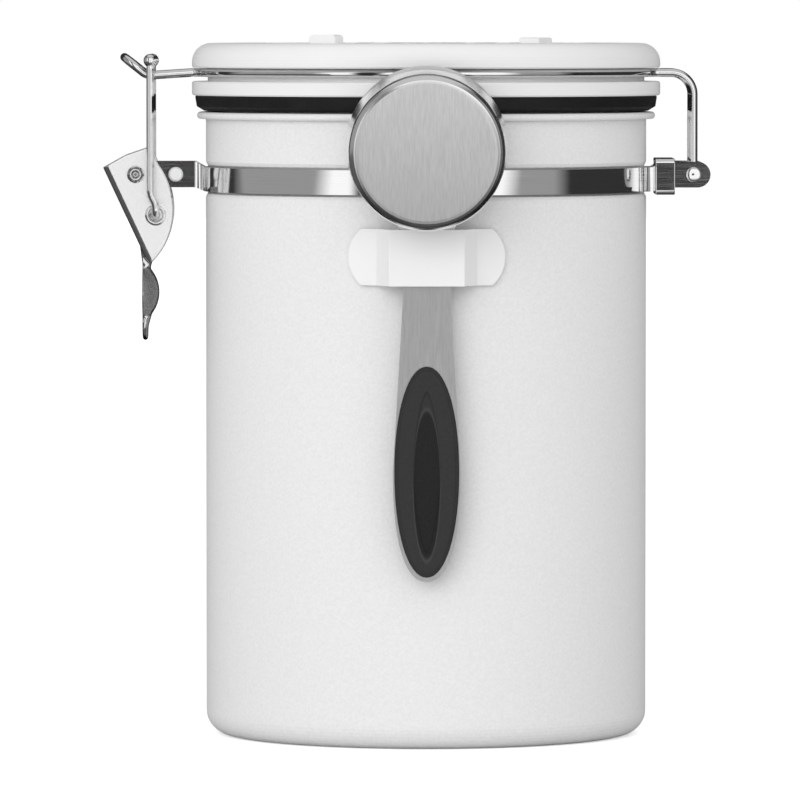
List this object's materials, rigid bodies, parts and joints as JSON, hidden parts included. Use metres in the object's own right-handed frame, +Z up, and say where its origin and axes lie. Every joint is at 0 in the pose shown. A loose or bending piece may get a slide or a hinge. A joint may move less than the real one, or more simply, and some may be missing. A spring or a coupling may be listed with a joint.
{
  "type": "coffee canister",
  "caption": "Round lidded coffee canister with a wire bail, over-centre side latch, degassing valve and date dial in the lid, and a steel scoop in a holder on the wall.",
  "frame": {"origin": "centre of the base, on the canister's axis, at the level of the surface it stands on", "axes": "+Z up along the canister's axis, -Y front with the scoop and its holder, +X the side of the hinge, -X the side of the latch"},
  "size_m": [0.1651, 0.1533, 0.1906],
  "materials": {
    "body_coat": "satin white powder coat",
    "band_steel": "polished stainless steel",
    "latch_steel": "satin stainless steel",
    "wire_steel": "bright drawn stainless wire",
    "lid_plastic": "satin white",
    "dial_plastic": "smooth white",
    "seal_rubber": "matte black",
    "valve_rubber": "matte",
    "filter_felt": "felt",
    "scoop_steel": "brushed stainless steel",
    "grip_rubber": "matte dark",
    "holder_plastic": "smooth white",
    "pad_foam": "adhesive foam"
  },
  "bodies": {
    "canister": {"canister_body": "body_coat", "front_band": "band_steel", "rear_band": "band_steel", "hinge_clip": "band_steel", "ear_rivet": "latch_steel", "ear_spacer": "latch_steel", "lever_pin": "latch_steel", "scoop_holder": "holder_plastic", "holder_pads": "pad_foam"},
    "bail": {"bail_wire": "wire_steel"},
    "lid": {"lid_cover": "lid_plastic", "lid_base": "lid_plastic", "lid_gasket": "seal_rubber", "valve_seat": "lid_plastic", "valve_cap": "lid_plastic", "valve_filter": "filter_felt", "filter_cover": "lid_plastic"},
    "day_dial": {"day_ring": "dial_plastic"},
    "month_dial": {"month_ring": "dial_plastic"},
    "valve": {"valve_disc": "valve_rubber"},
    "lever": {"latch_lever": "latch_steel"},
    "link": {"latch_link": "wire_steel"},
    "scoop_set": {"scoop": "scoop_steel", "scoop_grip": "grip_rubber"}
  },
  "joints": [
    {"name": "bail_hinge", "type": "hinge", "parent": "canister", "child": "bail", "pos_m": [0.0726, 0, 0.1526], "axis": [0, 1, 0], "range_deg": [0, 195]},
    {"name": "lid_turn", "type": "hinge", "parent": "bail", "child": "lid", "pos_m": [0, 0, 0.18], "axis": [0, 0, 1], "continuous": true},
    {"name": "day_turn", "type": "hinge", "parent": "lid", "child": "day_dial", "pos_m": [0, 0, 0.187], "axis": [0, 0, 1], "continuous": true},
    {"name": "month_turn", "type": "hinge", "parent": "lid", "child": "month_dial", "pos_m": [0, 0, 0.187], "axis": [0, 0, 1], "continuous": true},
    {"name": "valve_lift", "type": "slide", "parent": "lid", "child": "valve", "axis": [0, 0, 1], "range_m": [0, 0.0008]},
    {"name": "lever_hinge", "type": "hinge", "parent": "canister", "child": "lever", "pos_m": [-0.079, 0, 0.1526], "axis": [0, 1, 0], "range_deg": [0, 136]},
    {"name": "link_hinge", "type": "hinge", "parent": "lever", "child": "link", "pos_m": [-0.0735, 0, 0.1416], "axis": [0, 1, 0], "range_deg": [-97, 0]},
    {"name": "scoop_slide", "type": "slide", "parent": "canister", "child": "scoop_set", "axis": [0, 0, 1], "range_m": [0, 0.1]}
  ],
  "couplings": [
    {"joint": "link_hinge", "follows": "lever_hinge", "ratio": -0.71}
  ]
}
